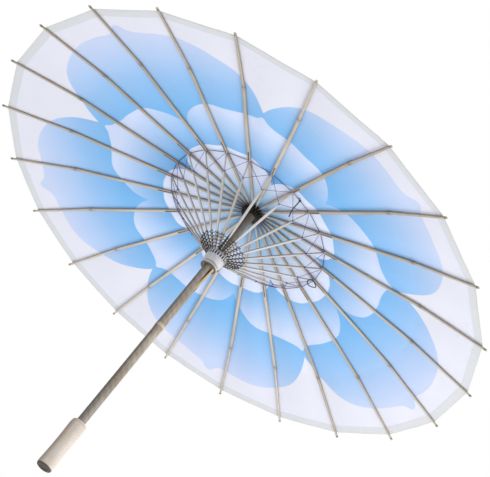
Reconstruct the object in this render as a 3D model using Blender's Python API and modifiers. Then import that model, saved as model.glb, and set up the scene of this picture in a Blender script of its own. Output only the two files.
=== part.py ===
"""An oil paper umbrella, open, with 22 bamboo ribs.

Metres, +Z up. The origin is the centre of the handle's end face, and +Z runs up the shaft.
Each rib turns at the hub, each stretcher turns at its rib, and the runner slides on the shaft.
rib_01 points along +X, and the others follow anticlockwise seen from above.
"""

import math

import bmesh
import bpy
from mathutils import Matrix, Vector

# Driving dimensions
RIB_COUNT = 22
GAP = 0.0003
OVERRUN = 0.01
TIP_RADIUS = 0.410
RIM_RADIUS = 0.402
BEND_RADIUS = 0.299
PIVOT_RADIUS = 0.134
HINGE_RADIUS = 0.0125
HUB_HINGE_Z = 0.506
RUNNER_HINGE_Z = 0.406
RIB_SLOPE = math.radians(9.2)
RIB_BEND = math.radians(4.5)
PIVOT_DROP = 0.00045

THREAD_RADIUS = 0.00045
THREAD_HOLE_RADIUS = 0.00075
HEAD_RADIUS = 0.0012
SLOT_WIDTH = 0.0024
SLOT_INNER_RADIUS = 0.0110
SLOT_OUTER_RADIUS = 0.0230
HUB_TOP = 0.0026
HUB_BOTTOM = -0.0070
RUNNER_TOP = 0.0032
HUB_SLOT = (-0.0080, 0.0016)
RUNNER_SLOT = (-0.0150, 0.0060)

NOTCH_WIDTH = 0.0023
NOTCH_INBOARD = 0.0042
NOTCH_OUTBOARD = 0.0230
NOTCH_ROOF = 0.0011

CANOPY_LIFT = 0.00205
CANOPY_THICKNESS = 0.0006
CANOPY_HUB_LIFT = 0.0030

SHAFT_TOP = 0.532
SHAFT_BOTTOM = 0.0043
SHAFT_TOP_RADIUS = 0.0066
SOCKET_RADIUS = 0.0069

LATCH_AZIMUTH = math.tau * 6.5 / RIB_COUNT
LATCH_FOOT = Vector((0.0045, 0.0, 0.338))
LATCH_TIP = Vector((0.0102, 0.0, 0.3823))
LATCH_WIDTH = 0.0050
LATCH_THICKNESS = 0.0016
LATCH_SLOT_FLOOR = 0.0015
LATCH_SLOT_HEADROOM = 0.0015

# Along a rib from its hinge at the hub: (distance, half thickness, half width)
RIB_STATIONS = (
    (0.009, 0.00120, 0.00090),
    (0.024, 0.00150, 0.00150),
    (0.105, 0.00165, 0.00225),
    (0.150, 0.00165, 0.00260),
    (0.280, 0.00155, 0.00240),
    (0.290, 0.00165, 0.00265),
    (0.298, 0.00145, 0.00210),
)
RIB_TIP_SECTION = (0.00120, 0.00160)
# Along a stretcher from its pivot on the rib, up to where it narrows for the runner
STRETCHER_STATIONS = (
    (0.027, 0.00115, 0.00085),
    (0.042, 0.00130, 0.00170),
    (0.092, 0.00130, 0.00170),
    (0.107, 0.00125, 0.00150),
    (0.122, 0.00120, 0.00085),
)


def clear_scene():
    for item in list(bpy.data.objects):
        bpy.data.objects.remove(item, do_unlink=True)


def new_collection(name):
    collection = bpy.data.collections.new(name)
    bpy.context.scene.collection.children.link(collection)
    return collection


def new_material(name, color, roughness):
    material = bpy.data.materials.new(name)
    material.use_nodes = True
    shader = material.node_tree.nodes["Principled BSDF"]
    shader.inputs["Base Color"].default_value = (*color, 1.0)
    shader.inputs["Roughness"].default_value = roughness
    shader.inputs["Metallic"].default_value = 0.0
    return material


def add_object(name, mesh, collection, material=None):
    item = bpy.data.objects.new(name, mesh)
    collection.objects.link(item)
    if material:
        mesh.materials.append(material)
    return item


def as_cutter(item):
    for other in list(item.users_collection):
        other.objects.unlink(item)
    cutters.objects.link(item)
    item.hide_render = True
    item.display_type = "WIRE"
    return item


def evaluated_mesh(item):
    """The object's mesh with its modifiers applied."""
    bpy.context.view_layer.update()
    graph = bpy.context.evaluated_depsgraph_get()
    return bpy.data.meshes.new_from_object(item.evaluated_get(graph))


def add_boolean(item, cutter, operation="DIFFERENCE"):
    modifier = item.modifiers.new(cutter.name, "BOOLEAN")
    modifier.operation = operation
    modifier.solver = "EXACT"
    modifier.object = cutter


def turned(name, profile, steps, material=None):
    """A profile of (radius, height) points turned about Z.

    It runs down the outer side. A profile that touches the axis at both ends is left open.
    """
    mesh = bpy.data.meshes.new(name)
    count = len(profile)
    ring_shaped = all(radius > 0 for radius, _ in profile)
    last = count if ring_shaped else count - 1
    edges = [(i, (i + 1) % count) for i in range(last)]
    mesh.from_pydata([(radius, 0, height) for radius, height in profile], edges, [])
    item = add_object(name, mesh, parts, material)
    screw = item.modifiers.new("turn", "SCREW")
    screw.steps = steps
    screw.render_steps = steps
    screw.use_merge_vertices = True
    screw.merge_threshold = 0.00001
    screw.use_smooth_shade = True
    return item


def outline(name, points, depth):
    """A flat outline in XY, extruded by depth to both sides of its plane, as a mesh."""
    curve = bpy.data.curves.new(name, "CURVE")
    curve.dimensions = "2D"
    curve.fill_mode = "BOTH"
    curve.extrude = depth
    spline = curve.splines.new("POLY")
    spline.points.add(len(points) - 1)
    for point, (x, y) in zip(spline.points, points):
        point.co = (x, y, 0, 1)
    spline.use_cyclic_u = True
    source = bpy.data.objects.new(name + "_curve", curve)
    cutters.objects.link(source)
    mesh = evaluated_mesh(source)
    bpy.data.objects.remove(source, do_unlink=True)
    shape = bmesh.new()
    shape.from_mesh(mesh)
    bmesh.ops.remove_doubles(shape, verts=shape.verts, dist=0.00001)
    bmesh.ops.recalc_face_normals(shape, faces=shape.faces)
    shape.to_mesh(mesh)
    shape.free()
    return mesh


def upright_outline(name, points, depth):
    """The same outline turned up into XZ."""
    mesh = outline(name, points, depth)
    mesh.transform(Matrix.Rotation(math.radians(90), 4, "X"))
    return mesh


def add_cube(shape, low, high):
    verts = bmesh.ops.create_cube(shape, size=1)["verts"]
    bmesh.ops.scale(shape, verts=verts, vec=high - low)
    bmesh.ops.translate(shape, verts=verts, vec=(low + high) / 2)
    return verts


def box_cutter(name, low, high, azimuths=(0,)):
    """A box cutter, repeated at each azimuth about Z."""
    mesh = bpy.data.meshes.new(name)
    shape = bmesh.new()
    for azimuth in azimuths:
        verts = add_cube(shape, Vector(low), Vector(high))
        bmesh.ops.rotate(shape, verts=verts, matrix=Matrix.Rotation(azimuth, 3, "Z"))
    shape.to_mesh(mesh)
    shape.free()
    return as_cutter(add_object(name, mesh, cutters))


def thread_hole(name, x, z):
    """A cutter for a thread hole along Y."""
    bpy.ops.mesh.primitive_cylinder_add(vertices=8, radius=THREAD_HOLE_RADIUS, depth=0.02)
    item = bpy.context.object
    item.name = name
    item.rotation_euler = (math.radians(90), 0, 0)
    item.location = (x, 0, z)
    return as_cutter(item)


def thread_ring(name, radius, height, thickness):
    """A ring round the shaft's axis that runs straight through each rib's plane."""
    half_segment = math.pi / (2 * RIB_COUNT)
    bpy.ops.mesh.primitive_torus_add(
        major_segments=2 * RIB_COUNT,
        minor_segments=6,
        major_radius=radius / math.cos(half_segment),
        minor_radius=thickness,
    )
    item = bpy.context.object
    item.name = name
    item.location = (0, 0, height)
    item.rotation_euler = (0, 0, half_segment)
    return item


def thread(name, radius, height):
    item = thread_ring(name, radius, height, THREAD_RADIUS)
    for other in list(item.users_collection):
        other.objects.unlink(item)
    parts.objects.link(item)
    item.data.materials.append(THREAD)
    item.data.shade_smooth()
    return item


def round_end(centre, radius, start):
    """Half a circle of points round centre, anticlockwise from the angle start."""
    turns = [start + math.pi * i / 4 for i in range(5)]
    return [(centre + radius * math.cos(t), radius * math.sin(t)) for t in turns]


def bar_mesh(name, side, plan, cuts):
    """The shape with a side outline in XZ and a plan outline in XY, less its cuts."""
    bar = add_object(name, upright_outline(name, side, OVERRUN), cutters)
    plan_cutter = as_cutter(add_object(name + "_plan", outline(name + "_plan", plan, 0.1), cutters))
    add_boolean(bar, plan_cutter, "INTERSECT")
    for cut in cuts:
        add_boolean(bar, cut)
    mesh = evaluated_mesh(bar)
    bpy.data.objects.remove(bar, do_unlink=True)
    mesh.name = name
    return mesh


def bend_distance():
    return (BEND_RADIUS - HINGE_RADIUS) / math.cos(RIB_SLOPE)


def rib_length():
    return bend_distance() + (TIP_RADIUS - BEND_RADIUS) / math.cos(RIB_SLOPE + RIB_BEND)


def rib_centre(distance):
    """A point of a rib's centre line and its upward normal, in the rib's own XZ plane."""
    bend = bend_distance()
    beyond = max(distance - bend, 0)
    angle = -RIB_BEND if beyond else 0
    x = min(distance, bend) + beyond * math.cos(angle)
    z = beyond * math.sin(angle)
    return Vector((x, z)), Vector((-math.sin(angle), math.cos(angle)))


def pivot_distance():
    """How far along the rib's centre line its pivot lies."""
    return (PIVOT_RADIUS - HINGE_RADIUS + PIVOT_DROP * math.sin(RIB_SLOPE)) / math.cos(RIB_SLOPE)


def pivot_z():
    drop = pivot_distance() * math.sin(RIB_SLOPE) + PIVOT_DROP * math.cos(RIB_SLOPE)
    return HUB_HINGE_Z - drop


def rib_mesh():
    stations = (*RIB_STATIONS, (rib_length(), *RIB_TIP_SECTION))
    top, bottom, left, right = [], [], [], []
    for distance, thickness, width in stations:
        centre, normal = rib_centre(distance)
        top.append(tuple(centre + normal * thickness))
        bottom.append(tuple(centre - normal * thickness))
        left.append((centre.x, width))
        right.append((centre.x, -width))
    head_width = stations[0][2]
    tip_x = right[-1][0] + OVERRUN
    tip_width = RIB_TIP_SECTION[1]
    plan = [(-OVERRUN, -head_width), *right, (tip_x, -tip_width)]
    plan += [(tip_x, tip_width), *left[::-1], (-OVERRUN, head_width)]
    side = [*round_end(0, HEAD_RADIUS, math.pi / 2), *bottom, *top[::-1]]
    pivot = pivot_distance()
    notch = box_cutter(
        "rib_notch",
        (pivot - NOTCH_INBOARD, -NOTCH_WIDTH / 2, -OVERRUN),
        (pivot + NOTCH_OUTBOARD, NOTCH_WIDTH / 2, NOTCH_ROOF),
    )
    holes = [thread_hole("rib_head_hole", 0, 0), thread_hole("rib_pivot_hole", pivot, -PIVOT_DROP)]
    return bar_mesh("rib", side, plan, [notch, *holes])


def stretcher_reach():
    """The pivot's distance from the runner's hinge, outwards and upwards."""
    return PIVOT_RADIUS - HINGE_RADIUS, pivot_z() - RUNNER_HINGE_Z


def stretcher_mesh():
    length = math.hypot(*stretcher_reach())
    top = [(distance, thickness) for distance, thickness, _ in STRETCHER_STATIONS]
    bottom = [(x, -z) for x, z in top]
    left = [(distance, width) for distance, _, width in STRETCHER_STATIONS]
    right = [(x, -y) for x, y in left]
    end_width = STRETCHER_STATIONS[0][2]
    plan = [(-OVERRUN, -end_width), *right, (length + OVERRUN, -end_width)]
    plan += [(length + OVERRUN, end_width), *left[::-1], (-OVERRUN, end_width)]
    side = [
        *round_end(0, HEAD_RADIUS - 0.00005, math.pi / 2),
        *bottom,
        *round_end(length, HEAD_RADIUS, -math.pi / 2),
        *top[::-1],
    ]
    holes = [thread_hole("stretcher_top_hole", 0, 0), thread_hole("stretcher_foot_hole", length, 0)]
    return bar_mesh("stretcher", side, plan, holes)


def around_shaft(radius, height, azimuth):
    return Vector((radius * math.cos(azimuth), radius * math.sin(azimuth), height))


def copy_of(name, mesh, location, rotation):
    item = add_object(name, mesh, parts)
    item.location = location
    item.rotation_euler = rotation
    return item


def make_ribs():
    mesh = rib_mesh()
    mesh.materials.append(BAMBOO)
    for index in range(RIB_COUNT):
        azimuth = math.tau * index / RIB_COUNT
        location = around_shaft(HINGE_RADIUS, HUB_HINGE_Z, azimuth)
        copy_of(f"rib_{index + 1:02d}", mesh, location, (0, RIB_SLOPE, azimuth))


def make_stretchers():
    mesh = stretcher_mesh()
    mesh.materials.append(PALE_BAMBOO)
    outward, upward = stretcher_reach()
    slope = math.atan2(upward, outward)
    for index in range(RIB_COUNT):
        azimuth = math.tau * index / RIB_COUNT
        location = around_shaft(PIVOT_RADIUS, pivot_z(), azimuth)
        rotation = (0, slope, azimuth + math.pi)
        copy_of(f"stretcher_{index + 1:02d}", mesh, location, rotation)


def make_hub():
    profile = [
        (0.0164, HUB_TOP),
        (0.0170, HUB_TOP - 0.0006),
        (0.0170, HUB_BOTTOM + 0.0008),
        (0.0162, HUB_BOTTOM),
        (SOCKET_RADIUS, HUB_BOTTOM),
        (SOCKET_RADIUS, HUB_TOP),
    ]
    hub = turned("hub", profile, 2 * RIB_COUNT, DARK_WOOD)
    hub.location = (0, 0, HUB_HINGE_Z)
    slots = slot_cutter("hub_slots", HUB_SLOT)
    slots.location = hub.location
    add_boolean(hub, slots)
    tunnel = as_cutter(thread_ring("hub_tunnel", HINGE_RADIUS, HUB_HINGE_Z, THREAD_HOLE_RADIUS))
    add_boolean(hub, tunnel)
    thread("hub_thread", HINGE_RADIUS, HUB_HINGE_Z)


def slot_cutter(name, heights):
    azimuths = [math.tau * index / RIB_COUNT for index in range(RIB_COUNT)]
    low = (SLOT_INNER_RADIUS, -SLOT_WIDTH / 2, heights[0])
    high = (SLOT_OUTER_RADIUS, SLOT_WIDTH / 2, heights[1])
    return box_cutter(name, low, high, azimuths)


def make_runner():
    """The slots run on down the head, so that the stretchers' feet clear it part way shut."""
    profile = [
        (0.0150, RUNNER_TOP),
        (0.0155, RUNNER_TOP - 0.0006),
        (0.0155, -0.0075),
        (0.0150, -0.0110),
        (0.0137, -0.0138),
        (0.0122, -0.0158),
        (0.0117, -0.0172),
        (0.0130, -0.0190),
        (0.0133, -0.0215),
        (0.0127, -0.0230),
        (0.0104, -0.0230),
        (0.0076, -0.0205),
        (0.0076, RUNNER_TOP),
    ]
    runner = turned("runner", profile, 2 * RIB_COUNT, PALE_WOOD)
    runner.location = (0, 0, RUNNER_HINGE_Z)
    slots = slot_cutter("runner_slots", RUNNER_SLOT)
    slots.location = runner.location
    add_boolean(runner, slots)
    tie_radius = 0.0096
    room = THREAD_RADIUS + GAP
    channel_profile = [
        (tie_radius + room, RUNNER_TOP + room),
        (tie_radius + room, RUNNER_TOP - 2 * room),
        (tie_radius - room, RUNNER_TOP - 2 * room),
        (tie_radius - room, RUNNER_TOP + room),
    ]
    channel = as_cutter(turned("runner_channel", channel_profile, 2 * RIB_COUNT))
    channel.location = runner.location
    add_boolean(runner, channel)
    thread("runner_thread", tie_radius, RUNNER_HINGE_Z + RUNNER_TOP - room)


def make_shaft():
    shoulder = HUB_HINGE_Z + HUB_BOTTOM - GAP
    profile = [
        (0, SHAFT_TOP),
        (SHAFT_TOP_RADIUS - 0.0005, SHAFT_TOP),
        (SHAFT_TOP_RADIUS, SHAFT_TOP - 0.0006),
        (SHAFT_TOP_RADIUS, shoulder),
        (0.0070, shoulder),
        (0.0070, 0.400),
        (0.00685, 0.268),
        (0.0072, 0.262),
        (0.0072, 0.2585),
        (0.00655, 0.254),
        (0.0064, 0.120),
        (0.00635, SHAFT_BOTTOM),
        (0, SHAFT_BOTTOM),
    ]
    shaft = turned("shaft", profile, 32, SHAFT_BAMBOO)
    low = (LATCH_SLOT_FLOOR, -LATCH_WIDTH / 2 - GAP, LATCH_FOOT.z - LATCH_THICKNESS)
    high = (LATCH_TIP.x, LATCH_WIDTH / 2 + GAP, LATCH_TIP.z + LATCH_SLOT_HEADROOM)
    add_boolean(shaft, box_cutter("latch_slot", low, high, (LATCH_AZIMUTH,)))


def make_handle():
    floor = SHAFT_BOTTOM - GAP
    bore = 0.0067
    profile = [
        (0, floor),
        (bore, floor),
        (bore, 0.0780),
        (0.0088, 0.0780),
        (0.0102, 0.0772),
        (0.0109, 0.0750),
        (0.0112, 0.0700),
        (0.0109, 0.0560),
        (0.0107, 0.0400),
        (0.0109, 0.0220),
        (0.0113, 0.0080),
        (0.0112, 0.0030),
        (0.0107, 0.0008),
        (0.0099, 0),
        (0, 0),
    ]
    turned("handle", profile, 32, PALE_WOOD)


def make_ferrule():
    profile = [
        (0, 0.5410),
        (0.0042, 0.5405),
        (0.0068, 0.5388),
        (0.0082, 0.5355),
        (0.0085, 0.5280),
        (0.0090, 0.5180),
        (0.0098, 0.5140),
        (0.0098, 0.5121),
        (SOCKET_RADIUS, 0.5121),
        (SOCKET_RADIUS, SHAFT_TOP + GAP),
        (0, SHAFT_TOP + GAP),
    ]
    turned("ferrule", profile, 24, PALE_WOOD)


def make_crown_cap():
    top = HUB_HINGE_Z + CANOPY_HUB_LIFT + CANOPY_THICKNESS
    underside = top + 0.0004
    profile = [
        (0.0105, top + 0.0022),
        (0.0185, top + 0.0014),
        (0.0270, top - 0.0010),
        (0.0270, top - 0.0016),
        (0.0180, underside),
        (SOCKET_RADIUS, underside),
        (SOCKET_RADIUS, top + 0.0022),
    ]
    turned("crown_cap", profile, RIB_COUNT, CLOTH)


def canopy_height(radius):
    """The canopy's underside over a rib, at a radius past the hub."""
    inner = min(radius, BEND_RADIUS) - HINGE_RADIUS
    outer = max(radius - BEND_RADIUS, 0)
    drop = inner * math.tan(RIB_SLOPE) + outer * math.tan(RIB_SLOPE + RIB_BEND)
    return HUB_HINGE_Z - drop + CANOPY_LIFT / math.cos(RIB_SLOPE)


def make_canopy():
    """A sheet with a flat gore between each two ribs, and a straight rim edge on each gore."""
    crown = HUB_HINGE_Z + CANOPY_HUB_LIFT
    profile = [(0.0080, crown), (0.0178, crown)]
    profile += [(radius, canopy_height(radius)) for radius in (0.045, BEND_RADIUS, RIM_RADIUS)]
    mesh = bpy.data.meshes.new("canopy")
    edges = [(i, i + 1) for i in range(len(profile) - 1)]
    mesh.from_pydata([(radius, 0, height) for radius, height in profile], edges, [])
    canopy = add_object("canopy", mesh, parts, CLOTH)
    screw = canopy.modifiers.new("turn", "SCREW")
    screw.steps = RIB_COUNT
    screw.render_steps = RIB_COUNT
    screw.use_merge_vertices = True
    screw.merge_threshold = 0.00001
    solidify = canopy.modifiers.new("thickness", "SOLIDIFY")
    solidify.thickness = CANOPY_THICKNESS
    solidify.offset = 1


def make_latch():
    """A strip sprung out of the shaft's slot, with its foot on its joint's axis."""
    reach = LATCH_TIP - LATCH_FOOT
    half = LATCH_THICKNESS / 2
    side = round_end(0, half, math.pi)
    side += [(half, reach.length), (-half * 0.6, reach.length)]
    mesh = upright_outline("latch", side, LATCH_WIDTH / 2)
    latch = add_object("latch", mesh, parts, LATCH_BAMBOO)
    latch.location = around_shaft(LATCH_FOOT.x, LATCH_FOOT.z, LATCH_AZIMUTH)
    latch.rotation_euler = (0, math.atan2(reach.x, reach.z), LATCH_AZIMUTH)


clear_scene()
parts = new_collection("oil_paper_umbrella")
cutters = new_collection("cutters")

BAMBOO = new_material("rib_bamboo", (0.58, 0.52, 0.43), 0.6)
PALE_BAMBOO = new_material("stretcher_bamboo", (0.66, 0.63, 0.58), 0.6)
SHAFT_BAMBOO = new_material("shaft_bamboo", (0.36, 0.31, 0.24), 0.5)
LATCH_BAMBOO = new_material("latch_bamboo", (0.69, 0.47, 0.23), 0.5)
PALE_WOOD = new_material("pale_wood", (0.80, 0.69, 0.56), 0.55)
DARK_WOOD = new_material("dark_wood", (0.03, 0.03, 0.02), 0.6)
CLOTH = new_material("printed_cloth", (0.62, 0.70, 0.90), 0.8)
THREAD = new_material("thread", (0.05, 0.05, 0.25), 0.8)

make_shaft()
make_handle()
make_hub()
make_runner()
make_latch()
make_ribs()
make_stretchers()
thread("pivot_thread", PIVOT_RADIUS, pivot_z())
make_canopy()
make_crown_cap()
make_ferrule()
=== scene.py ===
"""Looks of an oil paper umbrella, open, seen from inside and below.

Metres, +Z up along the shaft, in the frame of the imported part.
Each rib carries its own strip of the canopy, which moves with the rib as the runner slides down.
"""

import math
import random

import bmesh
import bpy
import numpy as np
from mathutils import Matrix, Vector


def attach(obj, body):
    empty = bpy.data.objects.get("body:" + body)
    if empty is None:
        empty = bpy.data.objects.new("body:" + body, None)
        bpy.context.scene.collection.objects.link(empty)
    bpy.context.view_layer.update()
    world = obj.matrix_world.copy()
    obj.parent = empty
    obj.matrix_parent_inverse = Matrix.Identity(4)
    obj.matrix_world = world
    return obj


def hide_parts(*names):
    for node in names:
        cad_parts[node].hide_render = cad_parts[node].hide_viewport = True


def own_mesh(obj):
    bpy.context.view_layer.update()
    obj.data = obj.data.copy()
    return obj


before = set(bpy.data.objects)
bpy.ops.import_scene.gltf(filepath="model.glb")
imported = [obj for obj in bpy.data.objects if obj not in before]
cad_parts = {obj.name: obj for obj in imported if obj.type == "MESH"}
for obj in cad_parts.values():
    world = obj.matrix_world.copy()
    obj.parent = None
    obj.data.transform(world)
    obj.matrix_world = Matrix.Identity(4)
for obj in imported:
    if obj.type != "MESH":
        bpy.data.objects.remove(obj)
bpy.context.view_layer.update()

# The part's driving dimensions, as in the CAD
RIB_COUNT = 22
HALF_GORE = math.pi / RIB_COUNT
TIP_RADIUS = 0.410
RIM_RADIUS = 0.402
BEND_RADIUS = 0.299
PIVOT_RADIUS = 0.134
HINGE_RADIUS = 0.0125
HUB_HINGE_Z = 0.506
RUNNER_HINGE_Z = 0.406
RIB_SLOPE = math.radians(9.2)
RIB_BEND = math.radians(4.5)
PIVOT_DROP = 0.00045
CANOPY_LIFT = 0.00205
CANOPY_THICKNESS = 0.0005
CROWN_Z = HUB_HINGE_Z + 0.0030
SHAFT_TOP = 0.532
SHAFT_BOTTOM = 0.0043
SOCKET_RADIUS = 0.0069
LATCH_AZIMUTH = math.tau * 6.5 / RIB_COUNT
LATCH_FOOT = Vector((0.0045, 0.0, 0.338))
LATCH_TIP = Vector((0.0102, 0.0, 0.3823))
LATCH_WIDTH = 0.0050
LATCH_THICKNESS = 0.0016
LATCH_SLOT_FLOOR = 0.0015
LATCH_SLOT_HEADROOM = 0.0015
SLOT_WIDTH = 0.0024
HUB_TOP = 0.0026
HUB_BOTTOM = -0.0070
GAP = 0.0003

# Shares of width for the thread pieces, given to tie as keep
PIVOT_KEEP = 0.154
FOOT_KEEP = 0.42
WHIPPING_KEEP = 0.62
KNOT_KEEP = 0.184
LOOP_KEEP = 0.5

# The level direction that faces away from the lights: the world is a little darker there, and materials
# paint shade on the sides that face it.
SHADE_SIDE = (0.813, -0.583, 0.0)

random_draw = random.Random(22)


# ---------------------------------------------------------------- materials


def srgb(code):
    values = [int(code[i : i + 2], 16) / 255 for i in (0, 2, 4)]
    linear = [v / 12.92 if v <= 0.04045 else ((v + 0.055) / 1.055) ** 2.4 for v in values]
    return (*linear, 1.0)


class Graph:
    """A node material with short calls for the nodes used here."""

    def __init__(self, name, roughness=0.6, specular=0.4, **constants):
        self.material = bpy.data.materials.new(name)
        self.material.use_nodes = True
        self.tree = self.material.node_tree
        self.shader = self.tree.nodes["Principled BSDF"]
        self.shader.inputs["Roughness"].default_value = roughness
        self.shader.inputs["Specular IOR Level"].default_value = specular
        for socket, value in constants.items():
            self.shader.inputs[socket.replace("_", " ")].default_value = value

    def put(self, socket, value):
        """Links a node's output, or sets a value. Text is a colour code."""
        if isinstance(value, bpy.types.NodeSocket):
            self.tree.links.new(value, socket)
        else:
            socket.default_value = srgb(value) if isinstance(value, str) else value

    def node(self, kind, output, values, **settings):
        item = self.tree.nodes.new(kind)
        for key, value in settings.items():
            setattr(item, key, value)
        for key, value in values.items():
            self.put(item.inputs[key], value)
        return item.outputs[output]

    def math(self, operation, *values):
        return self.node("ShaderNodeMath", 0, dict(enumerate(values)), operation=operation)

    def add(self, first, second):
        return self.math("ADD", first, second)

    def sub(self, first, second):
        return self.math("SUBTRACT", first, second)

    def mul(self, first, second):
        return self.math("MULTIPLY", first, second)

    def away(self, value, place):
        return self.math("ABSOLUTE", self.sub(value, place))

    def from_axis(self, x, y):
        """The distance of (x, y) from the axis."""
        return self.math("SQRT", self.add(self.mul(x, x), self.mul(y, y)))

    def mix(self, factor, first, second, blend="MIX"):
        values = {0: factor, 6: first, 7: second}
        return self.node("ShaderNodeMix", 2, values, data_type="RGBA", blend_type=blend)

    def tint(self, color, share, amount, code):
        return self.mix(self.mul(share, amount), color, code)

    def ramp(self, factor, stops):
        """Three colours, each at its place."""
        item = self.tree.nodes.new("ShaderNodeValToRGB")
        item.color_ramp.elements.new(0.5)
        for element, (place, code) in zip(item.color_ramp.elements, stops):
            element.position = place
            element.color = srgb(code)
        self.put(item.inputs[0], factor)
        return item.outputs[0]

    def step(self, value, low, high):
        """0 below low, 1 above high, smooth between."""
        values = {"Value": value, "From Min": low, "From Max": high}
        return self.node("ShaderNodeMapRange", 0, values, interpolation_type="SMOOTHSTEP")

    def fade(self, value, low, high):
        """1 below low, 0 above high, smooth between."""
        return self.sub(1.0, self.step(value, low, high))

    def noise(self, vector, scale, detail, roughness=0.5):
        values = {"Vector": vector, "Scale": scale, "Detail": detail, "Roughness": roughness}
        return self.node("ShaderNodeTexNoise", 0, values)

    def scaled(self, vector, scale):
        return self.node("ShaderNodeMapping", 0, {"Vector": vector, "Scale": scale})

    def object_place(self):
        return self.node("ShaderNodeTexCoord", "Object", {})

    def split(self, vector):
        item = self.tree.nodes.new("ShaderNodeSeparateXYZ")
        self.put(item.inputs[0], vector)
        return item.outputs

    def painted_shade_side(self, low, high):
        """A mask for painted shade: 1 on the side of a turned piece that faces away from the lights, 0 on
        its lit side.
        """
        normal = self.node("ShaderNodeTexCoord", "Normal", {})
        values = {0: normal, 1: SHADE_SIDE}
        facing = self.node("ShaderNodeVectorMath", "Value", values, operation="DOT_PRODUCT")
        return self.step(facing, low, high)

    def attribute(self, name):
        return self.node("ShaderNodeAttribute", "Fac", {}, attribute_name=name)

    def finish(self, color, height, strength, distance, roughness=None):
        """The material with this colour, this relief and, if it varies, this roughness."""
        self.put(self.shader.inputs["Base Color"], color)
        if roughness is not None:
            self.put(self.shader.inputs["Roughness"], roughness)
        values = {"Height": height, "Strength": strength, "Distance": distance}
        self.put(self.shader.inputs["Normal"], self.node("ShaderNodeBump", 0, values))
        return self.material


def bamboo(name, pale, dark, joint, marks):
    """Split bamboo: long fibres, mottling, darker sides, partly the sawn sides' own colour and partly
    painted shade, and marks at (place, half length, amount).
    """
    g = Graph(name, specular=0.3)
    place = g.object_place()
    along = g.split(place)[0]
    fibre = g.noise(g.scaled(place, (25, 1400, 1400)), 1.0, 4.0, 0.6)
    mottle = g.noise(g.scaled(place, (22, 200, 200)), 1.0, 3.0)
    shade = g.add(g.mul(fibre, 0.65), g.mul(mottle, 0.55))
    shade = g.step(shade, 0.42, 0.78)
    color = g.mix(g.mul(shade, 0.5), pale, dark)
    color = g.mix(g.attribute("tone"), color, g.mix(1.0, color, "BDB3A4", "MULTIPLY"))
    # Painted shade, partly the sawn sides' own colour: the narrow sides take on the dark joint colour.
    facing = g.split(g.node("ShaderNodeTexCoord", "Normal", {}))[1]
    side = g.step(g.math("ABSOLUTE", facing), 0.35, 0.95)
    color = g.tint(color, side, 0.42, joint)
    for centre, half, amount in marks:
        away = g.away(along, centre)
        ragged = g.add(away, g.mul(g.sub(fibre, 0.5), half))
        near = g.fade(ragged, half * 0.25, half)
        color = g.tint(color, near, amount, joint)
    rough = g.math("MULTIPLY_ADD", fibre, 0.25, 0.45)
    return g.finish(color, fibre, 0.25, 0.0002, rough)


def turned_wood(name, pale, dark, end=None, rings=(), hollow=None, shaded=0.0):
    """Turned wood with its grain along Z, tool marks round it, and a darker end below a height, partly end
    grain and partly painted shade.

    hollow is (radius, height, colour) of painted shade on the wood inside that radius and above that
    height, and shaded is how much painted shade darkens the side away from the lights.
    """
    g = Graph(name, specular=0.35)
    place = g.object_place()
    height = g.split(place)[2]
    fibre = g.noise(g.scaled(place, (500, 500, 28)), 1.0, 4.0, 0.6)
    mottle = g.noise(place, 55.0, 3.0)
    shade = g.add(g.mul(fibre, 0.6), g.mul(mottle, 0.5))
    color = g.mix(g.step(shade, 0.40, 0.75), pale, dark)
    # Painted shade on the side away from the lights.
    color = g.mix(g.mul(g.painted_shade_side(0.2, 1.05), shaded), color, "6A5138")
    # The darker end: partly end grain, partly painted shade.
    if end:
        level, width, tint = end
        cut = g.fade(height, level, level + width)
        color = g.mix(cut, color, tint)
    for level, half, tint in rings:
        away = g.away(height, level)
        color = g.mix(g.sub(0.85, g.step(away, half * 0.3, half)), color, tint)
    # Painted shade inside the hollow.
    if hollow:
        radius, level, tint = hollow
        x, y, _ = g.split(place)
        inside = g.from_axis(x, y)
        inside = g.fade(inside, radius - 0.0004, radius)
        inside = g.mul(inside, g.step(height, level, level + 0.001))
        color = g.mix(inside, color, tint)
    turning = g.noise(g.scaled(place, (4, 4, 2600)), 1.0, 1.0)
    bump = g.add(g.mul(turning, 0.5), fibre)
    return g.finish(color, bump, 0.2, 0.0002, g.math("MULTIPLY_ADD", fibre, 0.2, 0.45))


def thread_material(name, first, second):
    """Two shades of twisted cotton."""
    g = Graph(name, roughness=0.85, specular=0.2)
    place = g.object_place()
    twist = g.noise(place, 900.0, 2.0)
    color = g.mix(g.step(g.noise(place, 60.0, 2.0), 0.4, 0.6), first, second)
    color = g.tint(color, twist, 0.35, "16162A")
    return g.finish(color, twist, 0.4, 0.0002)


# The print: five petals in each layer. Outlines are (share of the petal, radius in metres).
PETAL_COUNT = 5
PRINT_SPAN = 0.84
PRINT_UNIT = 0.5
PETAL_SOFTNESS = 0.0022
WEAVE_PITCH = 0.0007
PETAL_DRIFT = math.radians(4.4)
PETAL_DRIFT_PHASE = math.radians(20)
OUTER_PETAL = (
    (0.0, 0.262), (0.05, 0.292), (0.12, 0.322), (0.22, 0.345), (0.33, 0.3555), (0.42, 0.3575),
    (0.485, 0.3585), (0.525, 0.372), (0.56, 0.361), (0.64, 0.357), (0.74, 0.354), (0.85, 0.337),
    (0.93, 0.308), (1.0, 0.262),
)
MIDDLE_PETAL = (
    (0.0, 0.180), (0.04, 0.198), (0.11, 0.2165), (0.20, 0.2290), (0.31, 0.2330), (0.42, 0.2380),
    (0.475, 0.2440), (0.50, 0.2510), (0.525, 0.2440), (0.58, 0.2365), (0.69, 0.2330), (0.80, 0.2285),
    (0.89, 0.2160), (0.96, 0.197), (1.0, 0.180),
)
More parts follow.
